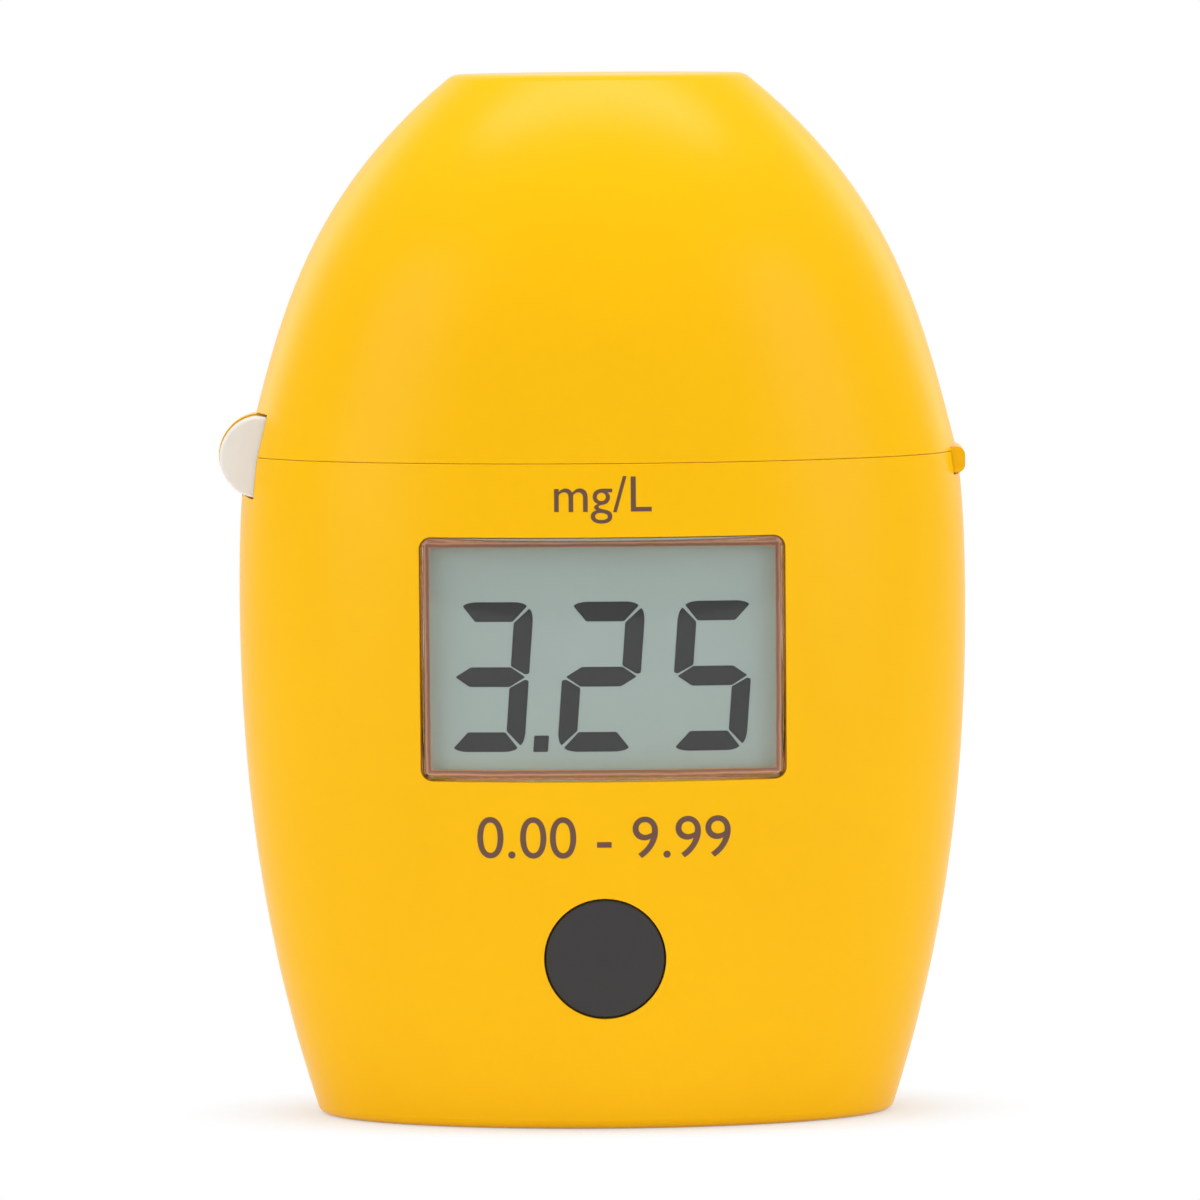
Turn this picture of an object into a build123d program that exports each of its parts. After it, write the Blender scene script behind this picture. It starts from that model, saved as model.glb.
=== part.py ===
from build123d import *
from math import sqrt
import os

# A pocket colorimeter: an egg-shaped hand instrument that stands on its flat base.
# Millimetres. X runs to the right, -Y is the front with the display, +Z is up.
# The origin is the middle of the flat base.

# Outline of the housing, seen from the front and from the side
HEIGHT = 86.0
SEAM_Z = 54.7             # where the hinged lid meets the housing
SEAM_GAP = 0.03
WAIST_Z = 43.5            # height of the widest section
BATTERY_END_ROOM = 2.15   # the base is this much wider than the battery, each side
SIDE_BULGE = 6.35         # extra half width at the waist
SEAM_NARROWING = 0.65     # half width lost again between waist and seam
SIDE_POWER = 2.25         # how late the housing's sides curve in towards the base
WAIST_HALF_DEPTH = 18.75
BASE_HALF_DEPTH = 14.8
TOP_HALF_WIDTH = 12.0
TOP_HALF_DEPTH = 8.0
LID_LEAN = 7.8            # half width that the lid loses evenly from the seam to its flat top
LID_SIDE_POWER = 3.25     # how late it loses the rest
LID_DEPTH_POWER = 3.2     # how late the lid's front and back curve in
TOP_EDGE_ROUND = 1.6
BASE_EDGE_ROUND = 0.9
SEAM_EDGE_ROUND = 0.05
SECTIONS = 8              # cross-sections lofted per shell

# Walls of the mouldings
WALL = 1.9
LID_WALL = 1.6
LID_ROOF = 1.9
FLOOR = 2.0
JOINT_LIP = 1.0           # tongue of the rear half inside the front half
LIP_CLEARANCE = 0.08
SLIDING_GAP = 0.15

# Lid hinge, on the left edge
HINGE_INSET = 1.3         # pin axis inside the seam's outline
KNUCKLE_RADIUS = 3.35     # fixed white knuckles
LID_KNUCKLE_RADIUS = 3.5
HINGE_HALF_LENGTH = 4.8
LID_KNUCKLE_HALF_LENGTH = 1.5
KNUCKLE_GAP = 0.2
PIN_RADIUS = 1.0
PIN_RUNNING_GAP = 0.05
PIN_FRONT_WALL = 1.0      # white skin left in front of the pin

# Lifting tab, on the right edge
TAB_PROUD = 0.6           # reach of the tab past the seam's outline
TAB_LENGTH = 2.5
TAB_HALF_LENGTH = 3.5
TAB_DROP = 1.76           # reach below the seam
TAB_RISE = 0.4
TAB_ROUND = 0.7

# Display window and the stack behind it
WINDOW_Z = 38.73
LCD_WIDTH = 30.4
LCD_HEIGHT = 20.95
LCD_THICKNESS = 1.8
LCD_HIDDEN_SIDE = 1.2     # border of the panel covered at left and right
LCD_HIDDEN_END = 1.4      # border of the panel covered above and below
WINDOW_LEDGE = 0.9        # ledge round the opening on which the lens lies
LEDGE_THICKNESS = 0.8
WINDOW_CORNER = 1.0
WINDOW_FRAME = 1.7        # thickened wall round the window
LENS_RECESS = 0.1
LENS_CLEARANCE = 0.1
LENS_EDGE_ROUND = 0.3
LENS_EDGE_THICKNESS = 0.75  # thinnest, at the left and right edges
LENS_BACK_CHAMFER = 0.3
BOND_THICKNESS = 0.25     # bead of adhesive under the lens
BOND_SHRINK = 0.01        # hairline between the cured bead and the lens
FRAME_RIM = 0.9
PART_CLEARANCE = 0.06
STRIP_HEIGHT = 1.6        # conductive rubber strips
STRIP_THICKNESS = 0.7
STRIP_INSET = 1.0
BOARD_THICKNESS = 1.0
BOARD_LOW_Z = 9.0
BOARD_HIGH_Z = 50.0
BOARD_EDGE_GAP = 0.5
CONTROLLER_SIZE = 7.0
CONTROLLER_RISE = 4.8     # heights of the small parts are taken from the button's axis
CONTROLLER_THICKNESS = 1.2
CHIP_X = 8.0
CHIP_RISE = 0.8
CHIP_WIDTH = 3.4
CHIP_HEIGHT = 3.6
CHIP_THICKNESS = 1.05
RESISTORS = 6
RESISTOR_PITCH = 1.8
RESISTOR_DROP = 2.0
RESISTOR_WIDTH = 0.9
RESISTOR_HEIGHT = 1.6
RESISTOR_THICKNESS = 0.7

# One push button
BUTTON_Z = 14.2
BUTTON_RADIUS = 4.88
BUTTON_GAP = 0.1
BUTTON_EDGE_ROUND = 0.2
BUTTON_RECESS = 0.1
BUTTON_FLANGE_RADIUS = 6.0
BUTTON_FLANGE_THICKNESS = 0.8
BUTTON_TRAVEL = 0.5
SWITCH_SIZE = 5.0
SWITCH_HEIGHT = 0.8
PLUNGER_RADIUS = 1.5
PLUNGER_GAP = 0.1
PLUNGER_ENTRY = 0.1       # how far the plunger stands in the switch at rest

# Deck under the lid, cuvette well and cuvette
DECK_TOP_Z = 53.0
DECK_THICKNESS = 1.6
LEDGE_WIDTH = 1.3
LEDGE_HEIGHT = 1.0
BEAD_WIDTH = 0.5
BEAD_HEIGHT = 0.55
CUVETTE_RADIUS = 11.0
CUVETTE_WALL = 1.1
CUVETTE_FLOOR = 2.0
CUVETTE_NECK_RADIUS = 10.0
CUVETTE_SHOULDER_Z = 60.0
CUVETTE_TOP_Z = 69.0
WELL_CLEARANCE = 0.3
WELL_WALL = 1.2
WELL_FLOOR = 1.5
WELL_SEAT_Z = 27.2
COLLAR_RADIUS = 13.8
COLLAR_HEIGHT = 1.0
SEAL_THICKNESS = 1.1
SEAL_INNER_RADIUS = 11.35
CAP_RADIUS = 11.4
CAP_TOP_Z = 72.0
CAP_WALL = 1.1
CAP_RIBS = 28
CAP_RIB_DEPTH = 0.35
CAP_LINER_THICKNESS = 0.8

# Light path through the cuvette: lamp on the left, detector on the right
LIGHT_Z = 37.0
PORT_RADIUS = 4.6
PORT_REACH = 18.5
PORT_BORE = 2.6
LAMP_RADIUS = 2.5
LAMP_RIM_RADIUS = 2.9
LAMP_RIM_THICKNESS = 1.0
FILTER_RADIUS = 3.4
FILTER_THICKNESS = 2.3
DIODE_SIZE = 4.6
DIODE_THICKNESS = 1.4
HOLDER_WALL = 1.1
HOLDER_GRIP = 3.5
LEAD_RADIUS = 0.28
LEAD_PITCH = 2.54
LEAD_RUN = 0.8            # straight run out of the holder, inner lead
LEAD_SPREAD = 0.9         # the outer lead runs this far outside the inner one
LEAD_BEND = 1.2
LEAD_STANDOFF = 2.2       # bend of the inner lead behind the board
LEAD_SLOPE = 3.0
LEAD_BOARD_X = 15.6       # where the inner leads meet the board

# Battery, its tray and contacts
BATTERY_RADIUS = 5.25
BATTERY_BODY_LENGTH = 43.1
BATTERY_NUB_RADIUS = 1.9
BATTERY_NUB_LENGTH = 0.8
BATTERY_Y = 0.6
BATTERY_Z = 11.0
CONTACT_THICKNESS = 0.3
CONTACT_WIDTH = 5.0
CONTACT_TAIL = 4.5
LEAF_BOW = 0.9
TRAY_WALL = 0.9
TRAY_CLEARANCE = 0.12
TRAY_SHELL_GAP = 0.3

# Battery cover in the base, with one captive screw
COVER_RIM = 1.9           # width of the housing's rim round the cover
COVER_PLATE = 1.1
COVER_STEP = 0.9
COVER_PLUG = 1.3
COVER_GAP = 0.1
COVER_SCREW_Y = -8.5
COVER_SCREW_RADIUS = 1.2
COVER_SCREW_HEAD_RADIUS = 2.3
COVER_SCREW_HEAD = 0.95
COVER_SCREW_LENGTH = 5.6
COVER_TRAVEL = 14.0
INSERT_WALL = 0.65
INSERT_LENGTH = 4.2
PAD_LENGTH = 20.0
PAD_WIDTH = 5.0

# Fasteners of the case and the board
CASE_SCREW_HEIGHTS = (47.3, 21.5)
CASE_SCREW_INSET = 8.8    # distance inside the outline
CASE_SCREW_RADIUS = 1.0
CASE_SCREW_HEAD_RADIUS = 1.9
CASE_SCREW_HEAD = 1.2
CASE_SCREW_SEAT_Y = 6.0
CASE_SCREW_BITE = 5.0
CASE_BOSS_RADIUS = 2.7
BOARD_SCREW_X = 10.5
BOARD_SCREW_Z = 22.4
BOARD_SCREW_RADIUS = 0.8
BOARD_SCREW_HEAD_RADIUS = 1.5
BOARD_SCREW_HEAD = 0.9
BOARD_SCREW_BITE = 2.2
BOARD_BOSS_RADIUS = 2.0
SCREW_GAP = 0.03
CLEARANCE_HOLE_GAP = 0.15
DRIVE_WIDTH = 0.5         # arms of the cross recess
DRIVE_DEPTH = 0.6

# Wires from the battery's contacts to the board
WIRE_RADIUS = 0.35
WIRE_BEND = 1.0
WIRE_BOARD_X = 13.0

BOX = 200.0               # larger than the whole object, for cutting halves
BASE_HALF_WIDTH = BATTERY_BODY_LENGTH / 2 + BATTERY_END_ROOM
WAIST_HALF_WIDTH = BASE_HALF_WIDTH + SIDE_BULGE


def body_half_width(z):
    """Half width of the housing at height z, widest at the waist."""
    if z > WAIST_Z:
        return WAIST_HALF_WIDTH - SEAM_NARROWING * ((z - WAIST_Z) / (SEAM_Z - WAIST_Z)) ** 2
    return WAIST_HALF_WIDTH - SIDE_BULGE * ((WAIST_Z - z) / WAIST_Z) ** SIDE_POWER


def body_half_depth(z):
    """Half depth of the housing at height z, one arc that is deepest at the waist."""
    drop = WAIST_HALF_DEPTH - BASE_HALF_DEPTH
    radius = (WAIST_Z ** 2 + drop ** 2) / (2 * drop)
    return WAIST_HALF_DEPTH - radius + sqrt(radius ** 2 - (z - WAIST_Z) ** 2)


# Places that follow from the sizes above
HINGE_X = HINGE_INSET - body_half_width(SEAM_Z)
HINGE_Z = SEAM_Z
TAB_OUT_X = body_half_width(SEAM_Z) + TAB_PROUD
TAB_IN_X = TAB_OUT_X - TAB_LENGTH
VIEW_WIDTH = LCD_WIDTH - 2 * LCD_HIDDEN_SIDE
VIEW_HEIGHT = LCD_HEIGHT - 2 * LCD_HIDDEN_END
WINDOW_WIDTH = VIEW_WIDTH + 2 * WINDOW_LEDGE
WINDOW_HEIGHT = VIEW_HEIGHT + 2 * WINDOW_LEDGE
WINDOW_EDGE_SHARE = WINDOW_WIDTH / 2 / body_half_width(WINDOW_Z)
WINDOW_EDGE_Y = -body_half_depth(WINDOW_Z) * sqrt(1 - WINDOW_EDGE_SHARE ** 2)
LENS_BACK_Y = WINDOW_EDGE_Y + LENS_EDGE_THICKNESS
LEDGE_FRONT_Y = LENS_BACK_Y + BOND_THICKNESS
LEDGE_BACK_Y = LEDGE_FRONT_Y + LEDGE_THICKNESS
LCD_FRONT_Y = LEDGE_BACK_Y + 0.05
LCD_BACK_Y = LCD_FRONT_Y + LCD_THICKNESS
BOARD_FRONT_Y = LCD_BACK_Y + STRIP_THICKNESS
BOARD_BACK_Y = BOARD_FRONT_Y + BOARD_THICKNESS
WELL_RADIUS = CUVETTE_RADIUS + WELL_CLEARANCE
WELL_OUTER_RADIUS = WELL_RADIUS + WELL_WALL
WELL_Y = BOARD_BACK_Y + 0.25 + WELL_OUTER_RADIUS
BUTTON_FLANGE_Y = WALL + 0.55 - body_half_depth(BUTTON_Z)
BUTTON_BACK_Y = BUTTON_FLANGE_Y + BUTTON_FLANGE_THICKNESS
PLUS_PLATE_X = (BATTERY_BODY_LENGTH + BATTERY_NUB_LENGTH + LEAF_BOW) / 2
MINUS_END_X = PLUS_PLATE_X - BATTERY_NUB_LENGTH - BATTERY_BODY_LENGTH
COVER_HALF_WIDTH = BASE_HALF_WIDTH - COVER_RIM
COVER_HALF_DEPTH = BASE_HALF_DEPTH - COVER_RIM
CASE_SCREW_PLACES = [
    (side * (body_half_width(z) - CASE_SCREW_INSET), z) for z in CASE_SCREW_HEIGHTS for side in (-1, 1)
]


def lid_half_width(z):
    """Half width of the lid at height z: leaning in from the seam, and faster near the top."""
    share = (z - SEAM_Z) / (HEIGHT - SEAM_Z)
    seam_x = body_half_width(SEAM_Z)
    lost_late = seam_x - TOP_HALF_WIDTH - LID_LEAN
    return seam_x - LID_LEAN * share - lost_late * max(0.0, share) ** LID_SIDE_POWER


def lid_half_depth(z):
    """Half depth of the lid at height z: upright at the seam, curving in near the top."""
    share = max(0.0, (z - SEAM_Z) / (HEIGHT - SEAM_Z))
    seam_y = body_half_depth(SEAM_Z)
    return seam_y - (seam_y - TOP_HALF_DEPTH) * share ** LID_DEPTH_POWER


def egg(half_width, half_depth, low, high, inset=0.0):
    """Solid of elliptical sections between two heights, drawn in by inset."""
    heights = [low + (high - low) * i / (SECTIONS - 1) for i in range(SECTIONS)]
    ellipses = [
        Plane.XY.offset(z) * Ellipse(half_width(z) - inset, half_depth(z) - inset) for z in heights
    ]
    return loft(ellipses)


def body_egg(low, high, inset=0.0):
    return egg(body_half_width, body_half_depth, low, high, inset)


def lid_egg(low, high, inset=0.0):
    return egg(lid_half_width, lid_half_depth, low, high, inset)


def box(x0, x1, y0, y1, z0, z1):
    return Pos((x0 + x1) / 2, (y0 + y1) / 2, (z0 + z1) / 2) * Box(x1 - x0, y1 - y0, z1 - z0)


def rod_x(radius, x0, x1, y, z):
    return Pos((x0 + x1) / 2, y, z) * Rot(0, 90, 0) * Cylinder(radius, abs(x1 - x0))


def rod_y(radius, y0, y1, x, z):
    return Pos(x, (y0 + y1) / 2, z) * Rot(90, 0, 0) * Cylinder(radius, abs(y1 - y0))


def rod_z(radius, z0, z1, x=0.0, y=0.0):
    return Pos(x, y, (z0 + z1) / 2) * Cylinder(radius, abs(z1 - z0))


def plate_y(width, height, corner, y0, y1, z):
    """Upright plate with round corners, facing the front."""
    face = Plane.XZ.offset(-y0) * Pos(0, z) * RectangleRounded(width, height, corner)
    return extrude(face, y1 - y0, dir=(0, 1, 0))


def slab(half_width, half_depth, z0, z1):
    """Flat oval plate."""
    return extrude(Plane.XY.offset(z0) * Ellipse(half_width, half_depth), z1 - z0)


def cross_recess(width, length, depth):
    """Cutter for a cross drive, centred on the origin and pointing down from z = 0."""
    arm = Pos(0, 0, -depth / 2) * Box(length, width, depth)
    return arm + Rot(0, 0, 90) * arm


def pan_screw(radius, length, head_radius, head):
    """Screw along Z: shank up to z = 0, head above it with a cross recess."""
    shank = rod_z(radius, -length, 0)
    shank = chamfer(shank.edges().group_by(Axis.Z)[0], radius * 0.4)
    cap = rod_z(head_radius, 0, head)
    cap = fillet(cap.edges().group_by(Axis.Z)[-1], head * 0.45)
    drive = Pos(0, 0, head) * cross_recess(DRIVE_WIDTH, head_radius * 1.2, DRIVE_DEPTH)
    return shank + cap - drive


# Both housing halves start from one closed shell
def housing_shell():
    outer = body_egg(0, SEAM_Z - SEAM_GAP / 2)
    rims = outer.edges().sort_by(lambda e: e.center().Z)
    outer = fillet([rims[-1]], SEAM_EDGE_ROUND)
    base = outer.edges().sort_by(lambda e: e.center().Z)[0]
    outer = fillet([base], BASE_EDGE_ROUND)
    shell = outer - body_egg(FLOOR, SEAM_Z + 1, WALL)
    ledge_top = DECK_TOP_Z - DECK_THICKNESS - 0.03
    for low, high, width in (
        (ledge_top - LEDGE_HEIGHT, ledge_top, LEDGE_WIDTH),
        (DECK_TOP_Z + 0.03, DECK_TOP_Z + BEAD_HEIGHT, BEAD_WIDTH),
    ):
        ring = body_egg(low, high, WALL - 0.4) - body_egg(low - 1, high + 1, WALL + width)
        shell += ring
    gap = COVER_GAP
    shell -= slab(COVER_HALF_WIDTH + gap, COVER_HALF_DEPTH + gap, -1, COVER_PLATE + gap)
    shell -= slab(
        COVER_HALF_WIDTH - COVER_STEP + gap, COVER_HALF_DEPTH - COVER_STEP + gap, 0, FLOOR + 1
    )
    return shell - hinge_pocket() - tab_pocket()


def hinge_pocket():
    """Room in the housing for the lid's knuckle and the fixed knuckles with their arms."""
    middle = LID_KNUCKLE_HALF_LENGTH + KNUCKLE_GAP
    turning = rod_y(LID_KNUCKLE_RADIUS + KNUCKLE_GAP, -middle, middle, HINGE_X, HINGE_Z)
    fixed = rod_y(
        KNUCKLE_RADIUS + SLIDING_GAP, -HINGE_HALF_LENGTH - SLIDING_GAP,
        HINGE_HALF_LENGTH + SLIDING_GAP, HINGE_X, HINGE_Z,
    )
    low = DECK_TOP_Z - DECK_THICKNESS - 0.03
    side = HINGE_HALF_LENGTH + SLIDING_GAP
    arms = box(HINGE_X + 1.0, HINGE_X + 6, -side, side, low, SEAM_Z + 1)
    return turning + fixed + arms


def tab_pocket():
    """Notch in the housing's rim for the lid's lifting tab."""
    side = TAB_HALF_LENGTH + SLIDING_GAP
    low = SEAM_Z - TAB_DROP - SLIDING_GAP
    return box(TAB_IN_X - 0.2, BOX / 4, -side, side, low, SEAM_Z + 1)


def lap(inset_out, inset_in, depth, clearance):
    """Inner half of the wall near the parting plane, the tongue of the lap joint."""
    low, high = FLOOR + 0.5, DECK_TOP_Z - DECK_THICKNESS - LEDGE_HEIGHT - 0.6
    ring = body_egg(low, high, inset_out) - body_egg(low - 1, high + 1, inset_in)
    return ring & box(-BOX, BOX, -depth, clearance, -BOX, BOX)


def front_shell(shell):
    front = shell & box(-BOX, BOX, -BOX, -LIP_CLEARANCE / 2, -BOX, BOX)
    for x, z in CASE_SCREW_PLACES:
        boss = rod_y(CASE_BOSS_RADIUS, -BOX / 4, -LIP_CLEARANCE / 2, x, z)
        front += boss & body_egg(1, SEAM_Z - 1, WALL - 0.6)
    for side in (-1, 1):
        boss = rod_y(BOARD_BOSS_RADIUS, -BOX / 4, BOARD_FRONT_Y - 0.02, side * BOARD_SCREW_X, BOARD_SCREW_Z)
        front += boss & body_egg(1, SEAM_Z - 1, WALL - 0.6)
    insert_radius = COVER_SCREW_RADIUS + SCREW_GAP + INSERT_WALL
    block = box(
        -insert_radius - 1, insert_radius + 1, -BOX / 4, COVER_SCREW_Y + insert_radius + 0.6,
        FLOOR + 0.45, FLOOR + INSERT_LENGTH + 2,
    )
    front += block & body_egg(1, SEAM_Z - 1, WALL - 0.6)
    front -= rod_z(insert_radius, 0, FLOOR + INSERT_LENGTH + 1, 0, COVER_SCREW_Y)
    for x, z in CASE_SCREW_PLACES:
        front -= rod_y(CASE_SCREW_RADIUS + SCREW_GAP, -CASE_SCREW_BITE - 0.5, 1, x, z)
    for side in (-1, 1):
        hole_y = BOARD_FRONT_Y - BOARD_SCREW_BITE - 0.2
        front -= rod_y(BOARD_SCREW_RADIUS + SCREW_GAP, hole_y, 0, side * BOARD_SCREW_X, BOARD_SCREW_Z)
    front -= lap(WALL / 2 - LIP_CLEARANCE, WALL + 0.2, JOINT_LIP + LIP_CLEARANCE, 1)
    front += plate_y(
        WINDOW_WIDTH + 2 * WINDOW_FRAME, WINDOW_HEIGHT + 2 * WINDOW_FRAME, WINDOW_CORNER + WINDOW_FRAME,
        -BOX / 4, LEDGE_BACK_Y, WINDOW_Z,
    ) & body_egg(1, SEAM_Z - 1, WALL - 0.6)
    front -= plate_y(WINDOW_WIDTH, WINDOW_HEIGHT, WINDOW_CORNER, -BOX / 4, LEDGE_FRONT_Y, WINDOW_Z)
    front -= plate_y(VIEW_WIDTH, VIEW_HEIGHT, 0.4, -BOX / 4, 0, WINDOW_Z)
    seat_width = LCD_WIDTH + 2 * FRAME_RIM + 2 * PART_CLEARANCE + 0.3
    seat_height = LCD_HEIGHT + 2 * FRAME_RIM + 2 * PART_CLEARANCE + 0.3
    front -= plate_y(seat_width, seat_height, 0.8, LEDGE_BACK_Y, 0, WINDOW_Z)
    front -= rod_y(BUTTON_RADIUS + BUTTON_GAP, -BOX / 4, 0, 0, BUTTON_Z)
    flange_y = BUTTON_FLANGE_Y - 0.05
    return front - rod_y(BUTTON_FLANGE_RADIUS + BUTTON_GAP, flange_y, 0, 0, BUTTON_Z)


def rear_shell(shell):
    rear = shell & box(-BOX, BOX, 0, BOX, -BOX, BOX)
    for x, z in CASE_SCREW_PLACES:
        boss = rod_y(CASE_BOSS_RADIUS, 0, BOX / 4, x, z)
        rear += boss & body_egg(1, SEAM_Z - 1, WALL - 0.6)
    rear += lap(WALL / 2, WALL, JOINT_LIP, 0.2) - hinge_pocket()
    for x, z in CASE_SCREW_PLACES:
        rear -= rod_y(CASE_SCREW_RADIUS + CLEARANCE_HOLE_GAP, -2, BOX / 4, x, z)
        rear -= rod_y(CASE_SCREW_HEAD_RADIUS + CLEARANCE_HOLE_GAP, CASE_SCREW_SEAT_Y, BOX / 4, x, z)
    return rear


# White deck under the lid, with the two fixed hinge knuckles moulded on
def inner_deck():
    low = DECK_TOP_Z - DECK_THICKNESS
    deck = body_egg(low, DECK_TOP_Z, WALL + SLIDING_GAP)
    for side in (-1, 1):
        near, far = LID_KNUCKLE_HALF_LENGTH + KNUCKLE_GAP, HINGE_HALF_LENGTH
        y0, y1 = sorted((side * near, side * far))
        knuckle = rod_y(KNUCKLE_RADIUS, y0, y1, HINGE_X, HINGE_Z)
        knuckle = fillet(knuckle.edges().sort_by(Axis.Y)[0 if side < 0 else -1], 0.25)
        deck += knuckle + box(HINGE_X, HINGE_X + 6, y0, y1, low, DECK_TOP_Z)
    middle = LID_KNUCKLE_HALF_LENGTH + KNUCKLE_GAP
    deck -= rod_y(LID_KNUCKLE_RADIUS + KNUCKLE_GAP, -middle, middle, HINGE_X, HINGE_Z)
    deck -= rod_y(
        PIN_RADIUS + SCREW_GAP, -HINGE_HALF_LENGTH + PIN_FRONT_WALL, BOX, HINGE_X, HINGE_Z
    )
    deck -= rod_z(WELL_OUTER_RADIUS + 0.05, 0, BOX, 0, WELL_Y)
    return deck


def hinge_pin():
    pin = rod_y(PIN_RADIUS, -HINGE_HALF_LENGTH + PIN_FRONT_WALL, HINGE_HALF_LENGTH, HINGE_X, HINGE_Z)
    return chamfer(pin.edges().sort_by(Axis.Y)[-1], 0.25)


# Lid: outer moulding with its knuckle and lifting tab, and a dark light-tight liner
def lid_shell():
    rim_z = SEAM_Z + SEAM_GAP / 2
    outer = lid_egg(rim_z, HEIGHT)
    rings = outer.edges().sort_by(lambda e: e.center().Z)
    outer = fillet([rings[-1]], TOP_EDGE_ROUND)
    rim = outer.edges().sort_by(lambda e: e.center().Z)[0]
    outer = fillet([rim], SEAM_EDGE_ROUND)
    tab = box(
        TAB_IN_X, TAB_OUT_X, -TAB_HALF_LENGTH, TAB_HALF_LENGTH, SEAM_Z - TAB_DROP, SEAM_Z + TAB_RISE
    )
    tab = fillet(tab.edges().filter_by(Axis.Y).sort_by(Axis.X)[-2:], TAB_ROUND)
    cavity = lid_egg(rim_z - 0.5, HEIGHT - LID_ROOF, LID_WALL)
    half = LID_KNUCKLE_HALF_LENGTH
    knuckle = rod_y(LID_KNUCKLE_RADIUS, -half, half, HINGE_X, HINGE_Z)
    lid = outer - cavity
    fixed = half + KNUCKLE_GAP
    for y0, y1 in ((-HINGE_HALF_LENGTH - SLIDING_GAP, -half), (half, HINGE_HALF_LENGTH + SLIDING_GAP)):
        lid -= rod_y(KNUCKLE_RADIUS + KNUCKLE_GAP, y0, y1, HINGE_X, HINGE_Z)
    lid += knuckle + tab
    return lid - rod_y(PIN_RADIUS + PIN_RUNNING_GAP, -fixed, fixed, HINGE_X, HINGE_Z)


def lid_liner():
    skin = 0.8
    gap = 0.1
    low = SEAM_Z + 1.4
    liner = lid_egg(low, HEIGHT - LID_ROOF - gap, LID_WALL + gap)
    liner -= lid_egg(low - 0.5, HEIGHT - LID_ROOF - gap - skin, LID_WALL + gap + skin)
    room = HINGE_HALF_LENGTH + 0.6
    return liner - rod_y(LID_KNUCKLE_RADIUS + 0.5, -room, room, HINGE_X, HINGE_Z)


# Cuvette well and what seals it
def cuvette_well():
    low = WELL_SEAT_Z - WELL_FLOOR
    tube = rod_z(WELL_OUTER_RADIUS, low, DECK_TOP_Z, 0, WELL_Y)
    collar = rod_z(COLLAR_RADIUS, DECK_TOP_Z, DECK_TOP_Z + COLLAR_HEIGHT, 0, WELL_Y)
    ports = rod_x(PORT_RADIUS, -PORT_REACH, PORT_REACH, WELL_Y, LIGHT_Z)
    well = tube + collar + ports
    well -= rod_z(WELL_RADIUS, WELL_SEAT_Z, BOX, 0, WELL_Y)
    well -= rod_x(PORT_BORE, -BOX / 4, BOX / 4, WELL_Y, LIGHT_Z)
    seat = PORT_REACH - FILTER_THICKNESS - 0.05
    return well - rod_x(FILTER_RADIUS + 0.05, seat, PORT_REACH + 1, WELL_Y, LIGHT_Z)


def light_seal():
    low = DECK_TOP_Z + COLLAR_HEIGHT
    ring = rod_z(COLLAR_RADIUS - 0.3, low, low + SEAL_THICKNESS, 0, WELL_Y)
    return ring - rod_z(SEAL_INNER_RADIUS, 0, BOX, 0, WELL_Y)


def cuvette_glass():
    body = rod_z(CUVETTE_RADIUS, WELL_SEAT_Z, CUVETTE_SHOULDER_Z, 0, WELL_Y)
    body = fillet(body.edges().group_by(Axis.Z)[0], 0.9)
    body = fillet(body.edges().group_by(Axis.Z)[-1], 0.7)
    body += rod_z(CUVETTE_NECK_RADIUS, CUVETTE_SHOULDER_Z - 0.5, CUVETTE_TOP_Z, 0, WELL_Y)
    bore = rod_z(
        CUVETTE_RADIUS - CUVETTE_WALL, WELL_SEAT_Z + CUVETTE_FLOOR, CUVETTE_SHOULDER_Z - 1, 0, WELL_Y
    )
    bore = fillet(bore.edges().group_by(Axis.Z)[0], 1.5)
    neck_bore = rod_z(CUVETTE_NECK_RADIUS - CUVETTE_WALL, CUVETTE_SHOULDER_Z - 2, BOX, 0, WELL_Y)
    return body - bore - neck_bore


def cuvette_cap():
    low = CUVETTE_SHOULDER_Z + 0.3
    cap = rod_z(CAP_RADIUS, low, CAP_TOP_Z, 0, WELL_Y)
    cap = fillet(cap.edges().group_by(Axis.Z)[-1], 0.7)
    room = CUVETTE_NECK_RADIUS + 0.1
    cap -= rod_z(room, low - 1, CUVETTE_TOP_Z + CAP_LINER_THICKNESS, 0, WELL_Y)
    groove = rod_z(CAP_RIB_DEPTH, low - 1, CAP_TOP_Z - 1.6)
    for i in range(CAP_RIBS):
        cap -= Pos(0, WELL_Y) * Rot(0, 0, 360 * i / CAP_RIBS) * Pos(CAP_RADIUS, 0) * groove
    return cap


def cap_liner():
    return rod_z(
        CUVETTE_NECK_RADIUS - 0.1, CUVETTE_TOP_Z, CUVETTE_TOP_Z + CAP_LINER_THICKNESS, 0, WELL_Y
    )


# Light path
def led_lamp():
    tip = WELL_OUTER_RADIUS - 0.1
    lamp = rod_x(LAMP_RADIUS, -tip, -PORT_REACH, WELL_Y, LIGHT_Z)
    lamp = fillet(lamp.edges().sort_by(Axis.X)[-1], LAMP_RADIUS * 0.8)
    lamp += rod_x(LAMP_RIM_RADIUS, -PORT_REACH - LAMP_RIM_THICKNESS, -PORT_REACH, WELL_Y, LIGHT_Z)
    return lamp


def bent_wire(radius, bend, *points):
    """Round wire along straight runs joined by arcs."""
    path = FilletPolyline(*points, radius=bend)
    start = Plane(origin=path @ 0, z_dir=path % 0)
    return sweep(start * Circle(radius), path=path)


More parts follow.
